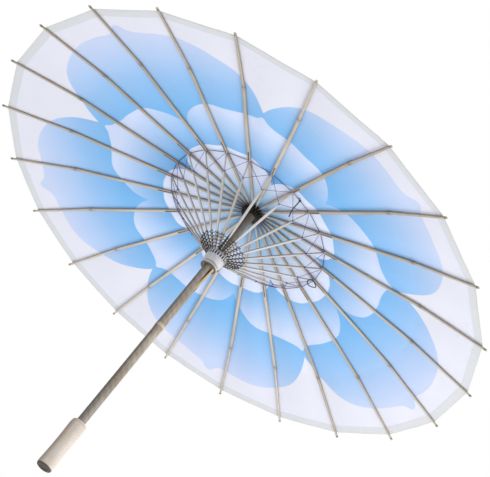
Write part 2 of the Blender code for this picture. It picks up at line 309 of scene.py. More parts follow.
INNER_PETAL = (
    (0.0, 0.108), (0.05, 0.126), (0.14, 0.142), (0.28, 0.150), (0.42, 0.1530), (0.50, 0.1535),
    (0.58, 0.1530), (0.72, 0.150), (0.86, 0.142), (0.95, 0.126), (1.0, 0.108),
)
# (outline, azimuth of its first notch in degrees, shift of its centre, deep edge, pale edge, colours)
PRINT_LAYERS = (
    (OUTER_PETAL, 37.5, (0.0, 0.0), 0.215, 0.350, ("70B1E9", "90BCEB", "C4D0EE")),
    (MIDDLE_PETAL, 1.5, (0.0, 0.0), 0.120, 0.222, ("62A6E4", "8CBAEA", "CCD8F5")),
    (INNER_PETAL, 46.0, (-0.010, 0.0), 0.015, 0.100, ("74B2EC", "A6CEF4", "DCE4FA")),
)


def petal_radius(g, share, outline):
    item = g.tree.nodes.new("ShaderNodeFloatCurve")
    curve = item.mapping.curves[0]
    ends = (outline[0], outline[-1])
    for point, (place, radius) in zip((curve.points[0], curve.points[-1]), ends):
        point.location = (place, radius / PRINT_UNIT)
    for place, radius in outline[1:-1]:
        curve.points.new(place, radius / PRINT_UNIT)
    item.mapping.update()
    g.put(item.inputs["Value"], share)
    return g.mul(item.outputs[0], PRINT_UNIT)


def canopy_material():
    """Printed cloth: the print from plan coordinates, a weave, fine wrinkles, painted shade along some
    creases and a greyer hem.
    """
    g = Graph("canopy_cloth", roughness=0.82, specular=0.18, Sheen_Weight=0.15, Sheen_Roughness=0.5)
    uv = g.node("ShaderNodeUVMap", 0, {}, uv_map="plan")
    centred = g.node("ShaderNodeVectorMath", 0, {0: uv, 1: (0.5, 0.5, 0.0)}, operation="SUBTRACT")
    span = (PRINT_SPAN, PRINT_SPAN, 0.0)
    plan = g.node("ShaderNodeVectorMath", 0, {0: centred, 1: span}, operation="MULTIPLY")
    x, y, _ = g.split(plan)
    waver = g.mul(g.sub(g.noise(plan, 9.0, 2.0), 0.5), 0.010)
    mottle = g.noise(plan, 28.0, 3.0)
    color = g.mix(g.mul(mottle, 0.5), "DEDFEC", "D8DAE9")
    for outline, notch, (dx, dy), deep, pale, shades in PRINT_LAYERS:
        px, py = g.sub(x, dx), g.sub(y, dy)
        azimuth = g.math("ARCTAN2", py, px)
        drift = g.math("SINE", g.sub(azimuth, PETAL_DRIFT_PHASE))
        turned = g.sub(azimuth, g.mul(drift, PETAL_DRIFT))
        turned = g.sub(turned, math.radians(notch))
        share = g.math("FRACT", g.mul(turned, PETAL_COUNT / math.tau))
        radius = g.from_axis(px, py)
        edge = g.add(petal_radius(g, share, outline), g.mul(waver, 0.4))
        inside = g.step(g.sub(edge, radius), -PETAL_SOFTNESS / 2, PETAL_SOFTNESS / 2)
        side = g.mul(g.sub(share, 0.5), math.tau / PETAL_COUNT)
        along = g.mul(radius, g.math("COSINE", g.mul(side, 0.6)))
        along = g.add(along, waver)
        fade = g.node("ShaderNodeMapRange", 0, {"Value": along, "From Min": deep, "From Max": pale})
        petal = g.ramp(fade, zip((0.0, 0.42, 1.0), shades))
        petal = g.mix(g.mul(mottle, 0.12), petal, "7FB6EC")
        color = g.mix(inside, color, petal)
    rim = g.attribute("rim")
    hem = g.step(rim, -0.0135, -0.0118)
    ragged = g.add(rim, g.mul(g.noise(plan, 160.0, 2.0), 0.004))
    edge = g.step(ragged, -0.0035, 0.0005)
    color = g.tint(color, hem, 0.65, "C9CCCE")
    color = g.tint(color, edge, 0.40, "CBCCC8")
    # Painted shade: darker lines along creases, in patches.
    fold = g.noise(g.scaled(plan, (14, 14, 1)), 1.0, 3.0, 0.65)
    fold = g.fade(g.away(fold, 0.5), 0.0, 0.006)
    crease_shade_patches = g.step(g.noise(plan, 7.0, 1.0), 0.50, 0.66)
    color = g.mix(g.mul(g.mul(fold, crease_shade_patches), 0.16), color, "8E9CC0")
    weave_x = g.math("SINE", g.mul(x, math.tau / WEAVE_PITCH))
    weave_y = g.math("SINE", g.mul(y, math.tau / WEAVE_PITCH))
    weave = g.mul(weave_x, weave_y)
    wrinkle = g.noise(g.scaled(plan, (60, 60, 1)), 1.0, 4.0, 0.6)
    height = g.add(g.mul(weave, 0.10), g.mul(wrinkle, 1.0))
    height = g.add(height, g.mul(hem, 0.5))
    return g.finish(color, height, 0.30, 0.0012)


# ---------------------------------------------------------------- meshes


def add_mesh(name, vertices, faces, material, place=None, smooth=True):
    mesh = bpy.data.meshes.new(name)
    mesh.from_pydata([tuple(v) for v in vertices], [], faces)
    mesh.validate()
    if smooth:
        mesh.shade_smooth()
    mesh.materials.append(material)
    item = bpy.data.objects.new(name, mesh)
    bpy.context.scene.collection.objects.link(item)
    if place is not None:
        item.matrix_world = place
    return item


def bind(item, body, node=None):
    """Gives the piece its body, and hides the CAD node that it stands for."""
    if node:
        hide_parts(node)
    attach(item, body)


def mark_sharp(item, degrees):
    item.data.set_sharp_from_angle(angle=math.radians(degrees))


def set_attribute(item, name, values):
    layer = item.data.attributes.new(name, "FLOAT", "POINT")
    layer.data.foreach_set("value", np.asarray(values, np.float32))


def ring_faces(rings, sides, first=0, closed_ends=True):
    """Faces of a tube of rings, with its two ends filled."""
    faces = []
    for ring in range(rings - 1):
        for side in range(sides):
            a = first + ring * sides + side
            b = first + ring * sides + (side + 1) % sides
            faces.append((a, b, b + sides, a + sides))
    if closed_ends:
        faces.append(tuple(first + side for side in range(sides))[::-1])
        faces.append(tuple(first + (rings - 1) * sides + side for side in range(sides)))
    return faces


def tube(points, radius, sides, first):
    """Vertices and faces of a round tube along points, with a steady frame.

    A path that ends where it starts makes a ring.
    """
    points = [Vector(p) for p in points]
    ring = (points[0] - points[-1]).length < 1e-6
    if ring:
        points.pop()
    count = len(points)
    vertices = []
    normal = None
    for index, point in enumerate(points):
        ahead = points[(index + 1) % count] if ring else points[min(index + 1, count - 1)]
        behind = points[index - 1] if ring else points[max(index - 1, 0)]
        tangent = (ahead - behind).normalized()
        if normal is None:
            normal = tangent.orthogonal().normalized()
        normal = (normal - tangent * normal.dot(tangent)).normalized()
        binormal = tangent.cross(normal)
        for side in range(sides):
            turn = math.tau * side / sides
            vertices.append(point + radius * (math.cos(turn) * normal + math.sin(turn) * binormal))
    faces = ring_faces(count, sides, first, closed_ends=not ring)
    if ring:
        last = first + (count - 1) * sides
        start = vertices[0] - points[0]
        offsets = [(start - (vertices[last - first + side] - points[-1])).length for side in range(sides)]
        shift = offsets.index(min(offsets))
        for side in range(sides):
            a, b = last + (side + shift) % sides, last + (side + shift + 1) % sides
            faces.append((a, b, first + (side + 1) % sides, first + side))
    return vertices, faces


def tubes(name, paths, radius, material, sides):
    """Several round tubes as one piece."""
    vertices, faces = [], []
    for path in paths:
        more, sides_of = tube(path, radius, sides, len(vertices))
        vertices += more
        faces += sides_of
    return add_mesh(name, vertices, faces, material)


def lathe(name, profile, material, segments, z=0.0, waves=None):
    """A closed solid turned about Z. The profile runs down the outer side, as (radius, height)."""
    touches_axis = profile[0][0] == 0
    vertices, faces, rings = [], [], []
    for radius, height in profile:
        if radius == 0:
            rings.append([len(vertices)])
            vertices.append((0, 0, z + height))
            continue
        rings.append(list(range(len(vertices), len(vertices) + segments)))
        for step in range(segments):
            turn = math.tau * step / segments
            dr, dz = waves(turn, radius, height) if waves else (0, 0)
            vertices.append(around_shaft(radius + dr, z + height + dz, turn))
    pairs = list(zip(rings, rings[1:]))
    if not touches_axis:
        pairs.append((rings[-1], rings[0]))
    for upper, lower in pairs:
        for step in range(segments):
            after = (step + 1) % segments
            if len(upper) == 1:
                faces.append((upper[0], lower[step], lower[after]))
            elif len(lower) == 1:
                faces.append((upper[after], upper[step], lower[0]))
            else:
                faces.append((upper[after], upper[step], lower[step], lower[after]))
    item = add_mesh(name, vertices, faces, material)
    mark_sharp(item, 35)
    return item


def rounded(profile, radius=0.0004, steps=3):
    """The profile with each sharp corner rounded off."""
    result = []
    count = len(profile)
    for index, corner in enumerate(profile):
        here = Vector(corner)
        before, after = Vector(profile[index - 1]), Vector(profile[(index + 1) % count])
        if here.x == 0 or (before - here).length < 1e-6 or (after - here).length < 1e-6:
            result.append(tuple(here))
            continue
        back, ahead = (before - here), (after - here)
        angle = back.angle(ahead)
        if angle > math.radians(165):
            result.append(tuple(here))
            continue
        reach = min(radius, back.length * 0.4, ahead.length * 0.4)
        start, end = here + back.normalized() * reach, here + ahead.normalized() * reach
        for step in range(steps + 1):
            t = step / steps
            point = (1 - t) ** 2 * start + 2 * t * (1 - t) * here + t * t * end
            result.append(tuple(point))
    return result


def boxes(azimuths, low, high):
    """One mesh of boxes, one at each azimuth about Z, as a cutter."""
    mesh = bpy.data.meshes.new("cutter")
    shape = bmesh.new()
    low, high = Vector(low), Vector(high)
    for azimuth in azimuths:
        corners = bmesh.ops.create_cube(shape, size=1)["verts"]
        bmesh.ops.scale(shape, verts=corners, vec=high - low)
        bmesh.ops.translate(shape, verts=corners, vec=(low + high) / 2)
        bmesh.ops.rotate(shape, verts=corners, matrix=Matrix.Rotation(azimuth, 3, "Z"))
    shape.to_mesh(mesh)
    shape.free()
    item = bpy.data.objects.new("cutter", mesh)
    bpy.context.scene.collection.objects.link(item)
    return item


def cut(item, *cutters, bevel=0.0):
    """Cuts the item's mesh for good, and removes the cutters."""
    for cutter in cutters:
        modifier = item.modifiers.new("cut", "BOOLEAN")
        modifier.operation = "DIFFERENCE"
        modifier.solver = "EXACT"
        modifier.object = cutter
    if bevel:
        modifier = item.modifiers.new("edges", "BEVEL")
        modifier.width = bevel
        modifier.segments = 2
        modifier.limit_method = "ANGLE"
        modifier.angle_limit = math.radians(40)
        modifier.use_clamp_overlap = True
    bpy.context.view_layer.update()
    graph = bpy.context.evaluated_depsgraph_get()
    mesh = bpy.data.meshes.new_from_object(item.evaluated_get(graph))
    item.modifiers.clear()
    item.data = mesh
    for cutter in cutters:
        bpy.data.objects.remove(cutter, do_unlink=True)
    mark_sharp(item, 35)


def between(value, table):
    """Linear interpolation in a table of (place, ...) rows, smoothed at the rows."""
    places = [row[0] for row in table]
    if value <= places[0]:
        return table[0][1:]
    for before, after in zip(table, table[1:]):
        if value <= after[0]:
            t = (value - before[0]) / (after[0] - before[0])
            t = t * t * (3 - 2 * t)
            return tuple(a + (b - a) * t for a, b in zip(before[1:], after[1:]))
    return table[-1][1:]


def azimuth_of(index):
    return math.tau * (index - 1) / RIB_COUNT


def tangent_of(index):
    azimuth = azimuth_of(index)
    return (-math.sin(azimuth), math.cos(azimuth), 0)


INDEXES = range(1, RIB_COUNT + 1)
AZIMUTHS = [azimuth_of(index) for index in INDEXES]


def around_shaft(radius, height, azimuth):
    return Vector((radius * math.cos(azimuth), radius * math.sin(azimuth), height))


def placed(location, slope, azimuth):
    turn = Matrix.Rotation(azimuth, 4, "Z") @ Matrix.Rotation(slope, 4, "Y")
    return Matrix.Translation(location) @ turn


# ---------------------------------------------------------------- the stage

FLOOR_HALF = 60.0
FLOOR_Z = -0.80
CAMERA_PLACE = Vector((0.8887, 1.2643, -0.5472))
CAMERA_TARGET = Vector((-0.012, 0.0086, 0.4619))
CAMERA_ROLL = math.radians(39.19)

def make_stage():
    """A white studio, a little darker on the shaded side, with a soft key light and a small one."""
    world = bpy.data.worlds.new("studio")
    bpy.context.scene.world = world
    world.use_nodes = True
    tree = world.node_tree
    background = tree.nodes["Background"]
    background.inputs[0].default_value = (1.0, 1.0, 1.0, 1.0)
    direction = tree.nodes.new("ShaderNodeTexCoord")
    towards = tree.nodes.new("ShaderNodeVectorMath")
    towards.operation = "DOT_PRODUCT"
    towards.inputs[1].default_value = SHADE_SIDE
    tree.links.new(direction.outputs["Generated"], towards.inputs[0])
    level = tree.nodes.new("ShaderNodeMapRange")
    level.interpolation_type = "SMOOTHSTEP"
    for socket, value in (("From Min", 0.35), ("From Max", 0.85), ("To Min", 1.0), ("To Max", 0.97)):
        level.inputs[socket].default_value = value
    tree.links.new(towards.outputs["Value"], level.inputs["Value"])
    tree.links.new(level.outputs["Result"], background.inputs[1])
    g = Graph("stage_floor", roughness=0.9, specular=0.1)
    speckle = g.noise(g.object_place(), 40.0, 3.0)
    floor_material = g.finish(g.mix(speckle, "F0F0EE", "F6F6F5"), speckle, 0.05, 0.001)
    corners = [(x * FLOOR_HALF, y * FLOOR_HALF, FLOOR_Z) for x, y in ((-1, -1), (1, -1), (1, 1), (-1, 1))]
    floor = add_mesh("floor", corners, [(0, 1, 2, 3)], floor_material, smooth=False)
    for name, place, power, size, tint in (
        ("key", (-1.5, 2.0, 0.05), 18.0, 1.1, (1.0, 0.99, 0.97)),
        ("side", (-0.80, 0.57, -0.05), 4.0, 0.35, (1.0, 0.99, 0.97)),
    ):
        light = bpy.data.lights.new(name, "AREA")
        light.energy = power
        light.size = size
        light.color = tint
        lamp = bpy.data.objects.new(name, light)
        bpy.context.scene.collection.objects.link(lamp)
        lamp.location = place
        lamp.rotation_euler = (Vector((0, 0, 0.30)) - Vector(place)).to_track_quat("-Z", "Y").to_euler()


def make_camera():
    camera = bpy.data.cameras.new("camera")
    camera.lens = 92.34
    camera.sensor_width = 36.0
    item = bpy.data.objects.new("camera", camera)
    bpy.context.scene.collection.objects.link(item)
    aim = (CAMERA_TARGET - CAMERA_PLACE).to_track_quat("-Z", "Y").to_matrix().to_4x4()
    item.matrix_world = Matrix.Translation(CAMERA_PLACE) @ aim @ Matrix.Rotation(CAMERA_ROLL, 4, "Z")
    bpy.context.scene.camera = item
    bpy.context.scene.view_settings.view_transform = "Standard"


# ---------------------------------------------------------------- ribs and stretchers

BEND_DISTANCE = (BEND_RADIUS - HINGE_RADIUS) / math.cos(RIB_SLOPE)
PIVOT_DISTANCE = (PIVOT_RADIUS - HINGE_RADIUS + PIVOT_DROP * math.sin(RIB_SLOPE)) / math.cos(RIB_SLOPE)
PIVOT_Z = HUB_HINGE_Z - PIVOT_DISTANCE * math.sin(RIB_SLOPE) - PIVOT_DROP * math.cos(RIB_SLOPE)
STRETCHER_LENGTH = math.hypot(PIVOT_RADIUS - HINGE_RADIUS, PIVOT_Z - RUNNER_HINGE_Z)
STRETCHER_SLOPE = math.atan2(PIVOT_Z - RUNNER_HINGE_Z, PIVOT_RADIUS - HINGE_RADIUS)
RIB_LENGTH = BEND_DISTANCE + (TIP_RADIUS - BEND_RADIUS) / math.cos(RIB_SLOPE + RIB_BEND)
BEND_EASE = 0.010

# (distance, half thickness, half width) along a rib from its hinge, with a swelling at its joint
RIB_TABLE = (
    (-0.00118, 0.00020, 0.00070),
    (-0.0008, 0.00090, 0.00088),
    (0.0, 0.00120, 0.00090),
    (0.009, 0.00120, 0.00090),
    (0.022, 0.00150, 0.00164),
    (0.040, 0.00155, 0.00196),
    (0.105, 0.00163, 0.00236),
    (0.150, 0.00164, 0.00260),
    (0.220, 0.00160, 0.00252),
    (0.2825, 0.00152, 0.00240),
    (0.2872, 0.00163, 0.00257),
    (0.2892, 0.00166, 0.00266),
    (0.2905, 0.00156, 0.00250),
    (0.2918, 0.00163, 0.00260),
    (0.3000, 0.00146, 0.00214),
    (0.3400, 0.00138, 0.00194),
    (RIB_LENGTH - 0.0042, 0.00122, 0.00164),
    (RIB_LENGTH - 0.0036, 0.00106, 0.00146),
    (RIB_LENGTH - 0.0028, 0.00122, 0.00172),
    (RIB_LENGTH - 0.0010, 0.00119, 0.00168),
    (RIB_LENGTH, 0.00080, 0.00125),
)
STRETCHER_TABLE = (
    (-0.00113, 0.00020, 0.00060),
    (-0.0008, 0.00085, 0.00080),
    (0.0, 0.00113, 0.00083),
    (0.027, 0.00115, 0.00085),
    (0.042, 0.00130, 0.00200),
    (0.082, 0.00130, 0.00200),
    (0.102, 0.00125, 0.00165),
    (0.122, 0.00118, 0.00090),
    (STRETCHER_LENGTH, 0.00117, 0.00083),
    (STRETCHER_LENGTH + 0.0008, 0.00088, 0.00080),
    (STRETCHER_LENGTH + 0.00117, 0.00020, 0.00060),
)
SECTION_SIDES = 16
NOTCH_HALF = 0.00115
SQUARENESS = 0.5


def bar(name, table, path, material, place, seed, cutter=None, kink=0.0, wobble=0.0):
    """A split bar: a rounded rectangle swept along path(distance) = (x, z, normal)."""
    draw = random.Random(seed)
    phases = [draw.uniform(0, math.tau) for _ in range(3)]
    places = set()
    for before, after in zip(table, table[1:]):
        steps = max(1, round((after[0] - before[0]) / 0.008))
        places |= {before[0] + (after[0] - before[0]) * step / steps for step in range(steps)}
    places = sorted(places | {table[-1][0]})
    vertices = []
    tone = draw.uniform(0.0, 0.55)
    for s in places:
        thickness, width = between(s, table)
        x, z, (nx, nz) = path(s)
        free = min(max((s - 0.150) / 0.08, 0.0), 1.0)
        width *= 1 + 0.05 * free * math.sin(s * 95 + phases[0])
        shift = kink * max(s - BEND_DISTANCE, 0.0)
        shift += wobble * free * math.sin(s * 14 + phases[1])
        for side in range(SECTION_SIDES):
            turn = math.tau * (side + 0.5) / SECTION_SIDES
            c, q = math.cos(turn), math.sin(turn)
            across = width * math.copysign(abs(c) ** SQUARENESS, c) + shift
            up = thickness * math.copysign(abs(q) ** SQUARENESS, q)
            vertices.append((x + up * nx, across, z + up * nz))
    item = add_mesh(name, vertices, ring_faces(len(places), SECTION_SIDES), material, place)
    if cutter:
        cut(item, cutter)
    mark_sharp(item, 55)
    set_attribute(item, "tone", [tone] * len(item.data.vertices))
    return item


def rib_path(s):
    """The rib's centre line in its own XZ plane, bending gently at its joint."""
    t = min(max((s - BEND_DISTANCE + BEND_EASE) / (2 * BEND_EASE), 0.0), 1.0)
    angle = RIB_BEND * (t * t * (3 - 2 * t))
    if s <= BEND_DISTANCE - BEND_EASE:
        return s, 0.0, (0.0, 1.0)
    if s >= BEND_DISTANCE + BEND_EASE:
        beyond = s - BEND_DISTANCE
        x, z = BEND_DISTANCE + beyond * math.cos(RIB_BEND), -beyond * math.sin(RIB_BEND)
        return x, z, (math.sin(RIB_BEND), math.cos(RIB_BEND))
    drop = -RIB_BEND * 2 * BEND_EASE * (t**3 - t**4 / 2)
    return s, drop, (math.sin(angle), math.cos(angle))


def straight_path(s):
    return s, 0.0, (0.0, 1.0)


def notch_cutter(place):
    """The rib's slot for its stretcher, in the rib's own frame."""
    low = (PIVOT_DISTANCE - 0.0042, -NOTCH_HALF, -0.01)
    high = (PIVOT_DISTANCE + 0.0230, NOTCH_HALF, 0.0011)
    item = boxes((0,), low, high)
    item.matrix_world = place
    return item


def make_ribs():
    marks = (
        (0.002, 0.019, 0.9), (0.2905, 0.0045, 0.40), (0.2905, 0.016, 0.15),
        (RIB_LENGTH - 0.0036, 0.0017, 0.85), (0.119, 0.008, 0.15),
    )
    material = bamboo("rib_bamboo", "D4CBBF", "A1978A", "57504A", marks)
    ribs = []
    for index in INDEXES:
        azimuth = azimuth_of(index)
        place = placed(around_shaft(HINGE_RADIUS, HUB_HINGE_Z, azimuth), RIB_SLOPE, azimuth)
        kink = math.tan(math.radians(random_draw.uniform(-0.9, 0.9)))
        item = bar(
            f"split_rib_{index:02d}", RIB_TABLE, rib_path, material, place, 100 + index,
            notch_cutter(place), kink, wobble=random_draw.uniform(0.0002, 0.0006),
        )
        bind(item, f"rib_{index:02d}", f"rib_{index:02d}")
        ribs.append(item)
    return ribs


def make_stretchers():
    marks = ((STRETCHER_LENGTH - 0.001, 0.012, 0.6), (0.0, 0.006, 0.3))
    material = bamboo("stretcher_bamboo", "D8D5D4", "B3AEAB", "4A463F", marks)
    for index in INDEXES:
        azimuth = azimuth_of(index)
        spot = around_shaft(PIVOT_RADIUS, PIVOT_Z, azimuth)
        place = placed(spot, STRETCHER_SLOPE, azimuth + math.pi)
        name = f"split_stretcher_{index:02d}"
        item = bar(name, STRETCHER_TABLE, straight_path, material, place, 300 + index)
        bind(item, f"stretcher_{index:02d}", f"stretcher_{index:02d}")


# ---------------------------------------------------------------- the canopy

STRIP_INNER = 0.0182
STRIP_SAG = 0.0022


def smooth_step(value, low, high):
    t = np.clip((value - low) / (high - low), 0, 1)
    return t * t * (3 - 2 * t)


def rib_line(radius):
    """The canopy's underside over a rib, eased at the rib's joint and at the hub."""
    inner = np.minimum(radius, BEND_RADIUS) - HINGE_RADIUS
    outer = np.maximum(radius - BEND_RADIUS, 0)
    drop = inner * math.tan(RIB_SLOPE) + outer * math.tan(RIB_SLOPE + RIB_BEND)
    straight = HUB_HINGE_Z - drop + CANOPY_LIFT / math.cos(RIB_SLOPE)
    start = HUB_HINGE_Z - (0.045 - HINGE_RADIUS) * math.tan(RIB_SLOPE) + CANOPY_LIFT / math.cos(RIB_SLOPE)
    t = (radius - 0.0178) / (0.045 - 0.0178)
    near_hub = CROWN_Z + (start - CROWN_Z) * t
    return np.where(radius < 0.045, near_hub, straight)


def wrinkles(x, y):
    """Small folds in metres, the same wherever two strips meet."""
    total = np.zeros_like(x)
    for angle, pitch, phase, size in (
        (0.4, 0.041, 0.3, 0.10), (1.3, 0.029, 1.9, 0.07), (2.2, 0.053, 4.1, 0.12),
        (2.9, 0.017, 2.6, 0.04), (0.9, 0.013, 5.2, 0.03),
    ):
        along = x * math.cos(angle) + y * math.sin(angle)
        across = -x * math.sin(angle) + y * math.cos(angle)
        total += size * np.sin(math.tau * along / pitch + phase + 1.7 * np.sin(across * 21 + phase))
    return total * 0.001


def strip_point(radius, share):
    """Plan x and y in a rib's own frame, at a share of the way to the middle of the gore."""
    size = np.abs(share)
    x = radius * (1 - size * math.sin(HALF_GORE) ** 2)
    y = radius * share * math.sin(HALF_GORE) * math.cos(HALF_GORE)
    return x, y


def strip_height(x, y, azimuth):
    """The underside's height over plan points in a rib's own frame."""
    radius = np.abs(y) * math.tan(HALF_GORE) + x
    share = np.clip(np.abs(y) / (radius * math.sin(HALF_GORE) * math.cos(HALF_GORE)), 0, 1)
    open_part = smooth_step(radius, 0.05, 0.20) * (1 - 0.75 * smooth_step(radius, 0.33, RIM_RADIUS))
    belly = np.sin(share * math.pi / 2) ** 2
    world_x = x * math.cos(azimuth) - y * math.sin(azimuth)
    world_y = x * math.sin(azimuth) + y * math.cos(azimuth)
    rise = 0.35 + 0.65 * smooth_step(radius, 0.36, RIM_RADIUS)
    folds = wrinkles(world_x, world_y) * rise * smooth_step(share, 0.08, 0.5)
    return rib_line(radius) - STRIP_SAG * open_part * belly + folds


def strip_normals(x, y, share, azimuth):
    """Upward normals of the underside in the rib's own frame. They agree across the seams."""
    step = 0.0004
    slope_x = (strip_height(x + step, y, azimuth) - strip_height(x - step, y, azimuth)) / (2 * step)
    limit = x * math.tan(HALF_GORE)
    ahead, behind = np.minimum(y + step, limit), np.maximum(y - step, -limit)
    slope_y = (strip_height(x, ahead, azimuth) - strip_height(x, behind, azimuth)) / (ahead - behind)
    normal = np.stack([-slope_x, -slope_y, np.ones_like(x)], -1)
    aside = -np.sin(HALF_GORE) * np.sign(share)
    across = np.stack([aside, np.full_like(x, math.cos(HALF_GORE)), 0 * x], -1)
    flat = normal - across * (normal * across).sum(-1, keepdims=True)
    seam = np.abs(share) > 0.999
    normal = np.where(seam[..., None], flat, normal)
    return normal / np.linalg.norm(normal, axis=-1, keepdims=True)


def strip_faces(rows, columns):
    """Faces of a strip's two sides and of the border between them."""
    count = rows * columns
    faces = []
    for row in range(rows - 1):
        for column in range(columns - 1):
            a = row * columns + column
            quad = (a, a + 1, a + columns + 1, a + columns)
            faces += [quad, tuple(count + v for v in quad[::-1])]
    border = [(0, c) for c in range(columns)]
    border += [(r, columns - 1) for r in range(1, rows)]
    border += [(rows - 1, c) for c in range(columns - 2, -1, -1)]
    border += [(r, 0) for r in range(rows - 2, 0, -1)]
    loop = [r * columns + c for r, c in border]
    return faces + [(b, a, count + a, count + b) for a, b in zip(loop, loop[1:] + loop[:1])]


def make_strips():
    """One closed strip of cloth centred on each rib, from the hub to the rim."""
    material = canopy_material()
    radii = np.concatenate([
        np.linspace(STRIP_INNER, 0.045, 4, endpoint=False), np.linspace(0.045, 0.29, 30, endpoint=False),
        np.linspace(0.29, 0.31, 4, endpoint=False), np.linspace(0.31, 0.388, 12, endpoint=False),
        np.linspace(0.388, RIM_RADIUS, 8),
    ])
    radius, share = np.meshgrid(radii, np.linspace(-1, 1, 23), indexing="ij")
    x, y = strip_point(radius, share)
    faces = strip_faces(*radius.shape)
    for index in INDEXES:
        azimuth = azimuth_of(index)
        cos, sin = math.cos(azimuth), math.sin(azimuth)
        turn = np.array([[cos, -sin, 0], [sin, cos, 0], [0, 0, 1]])
        under = np.stack([x, y, strip_height(x, y, azimuth)], -1).reshape(-1, 3) @ turn.T
        facing = strip_normals(x, y, share, azimuth).reshape(-1, 3) @ turn.T
        vertices = np.concatenate([under, under + np.array([0, 0, CANOPY_THICKNESS])])
        item = add_mesh(f"canopy_strip_{index:02d}", vertices, faces, material)
        set_attribute(item, "rim", np.tile((radius - RIM_RADIUS).ravel(), 2))
        plan = item.data.uv_layers.new(name="plan")
        corners = np.array([corner.vertex_index for corner in item.data.loops])
        plan.data.foreach_set("uv", (vertices[corners, :2] / PRINT_SPAN + 0.5).astype(np.float32).ravel())
        item.data.normals_split_custom_set_from_vertices(np.concatenate([-facing, facing]).tolist())
        bind(item, f"rib_{index:02d}", "canopy")
        tangent_of(index)
        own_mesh(item)


# ---------------------------------------------------------------- turned pieces and the shaft

JOINT_RING_Z = 0.2602


def shaft_material():
    """Weathered bamboo: grey-brown streaks, faint slanting marks, a paler ring at its joint, painted shade
    above the runner under the canopy, and painted shade on the side away from the lights.
    """
    g = Graph("shaft_bamboo", specular=0.35)
    place = g.object_place()
    x, y, z = g.split(place)
    fibre = g.noise(g.scaled(place, (900, 900, 14)), 1.0, 4.0, 0.65)
    turn = g.math("ARCTAN2", y, x)
    slant = g.math("SINE", g.add(g.mul(z, 520.0), g.mul(turn, 3.0)))
    patch = g.noise(g.scaled(place, (60, 60, 22)), 1.0, 3.0)
    shade = g.add(g.mul(fibre, 0.7), g.mul(patch, 0.5))
    shade = g.add(shade, g.mul(slant, 0.030))
    color = g.mix(g.step(shade, 0.42, 0.76), "B4A896", "84786A")
    low = g.fade(z, 0.10, 0.25)
    color = g.mix(low, color, g.mix(1.0, color, "DADDE6", "MULTIPLY"))
    away = g.away(z, JOINT_RING_Z)
    ring = g.fade(away, 0.0012, 0.0052)
    color = g.tint(color, ring, 0.75, "DCCFB8")
    away = g.away(z, JOINT_RING_Z - 0.0030)
    groove = g.fade(away, 0.0003, 0.0010)
    color = g.tint(color, groove, 0.7, "5A4C3C")
    below = g.fade(z, 0.330, 0.345)
    warm = g.mul(g.step(patch, 0.45, 0.65), g.mul(below, 0.35))
    color = g.mix(warm, color, "A58C6C")
    # Painted shade under the canopy, above the runner.
    under_canopy_shade = g.mul(g.step(z, 0.395, 0.425), 0.5)
    color = g.mix(under_canopy_shade, color, "5A4E42")
    # Painted shade on the side away from the lights.
    color = g.mix(g.mul(g.painted_shade_side(0.1, 0.95), 0.72), color, "2E2823")
    return g.finish(color, fibre, 0.3, 0.0002, g.math("MULTIPLY_ADD", fibre, 0.25, 0.42))


def make_shaft():
    shoulder = HUB_HINGE_Z + HUB_BOTTOM - GAP
    profile = [
        (0, SHAFT_TOP), (0.0061, SHAFT_TOP), (0.0066, SHAFT_TOP - 0.0006), (0.0066, shoulder),
        (0.00700, shoulder), (0.00698, 0.470), (0.00702, 0.430), (0.00700, 0.400), (0.00695, 0.350),
        (0.00688, 0.300), (0.00683, 0.270), (0.00692, 0.2650), (0.00716, 0.2626), (0.00721, 0.2606),
        (0.00716, 0.2586), (0.00690, 0.2574), (0.00690, 0.2568), (0.00676, 0.2545), (0.00656, 0.2500),
        (0.00650, 0.200), (0.00642, 0.120), (0.00636, 0.060), (0.00635, SHAFT_BOTTOM), (0, SHAFT_BOTTOM),
    ]

    def uneven(turn, _, height):
        if height > 0.49 or height < 0.085:
            return 0.0, 0.0
        return 0.00007 * math.sin(turn * 3 + height * 9) + 0.00005 * math.sin(turn * 5 - height * 31), 0.0

    shaft = lathe("bamboo_shaft", profile, shaft_material(), 64, waves=uneven)
    width = LATCH_WIDTH / 2 + GAP
    low = (LATCH_SLOT_FLOOR, -width, LATCH_FOOT.z - LATCH_THICKNESS)
    high = (LATCH_TIP.x, width, LATCH_TIP.z + LATCH_SLOT_HEADROOM)
    cut(shaft, boxes((LATCH_AZIMUTH,), low, high), bevel=0.00015)
    bind(shaft, "shaft_assembly", "shaft")


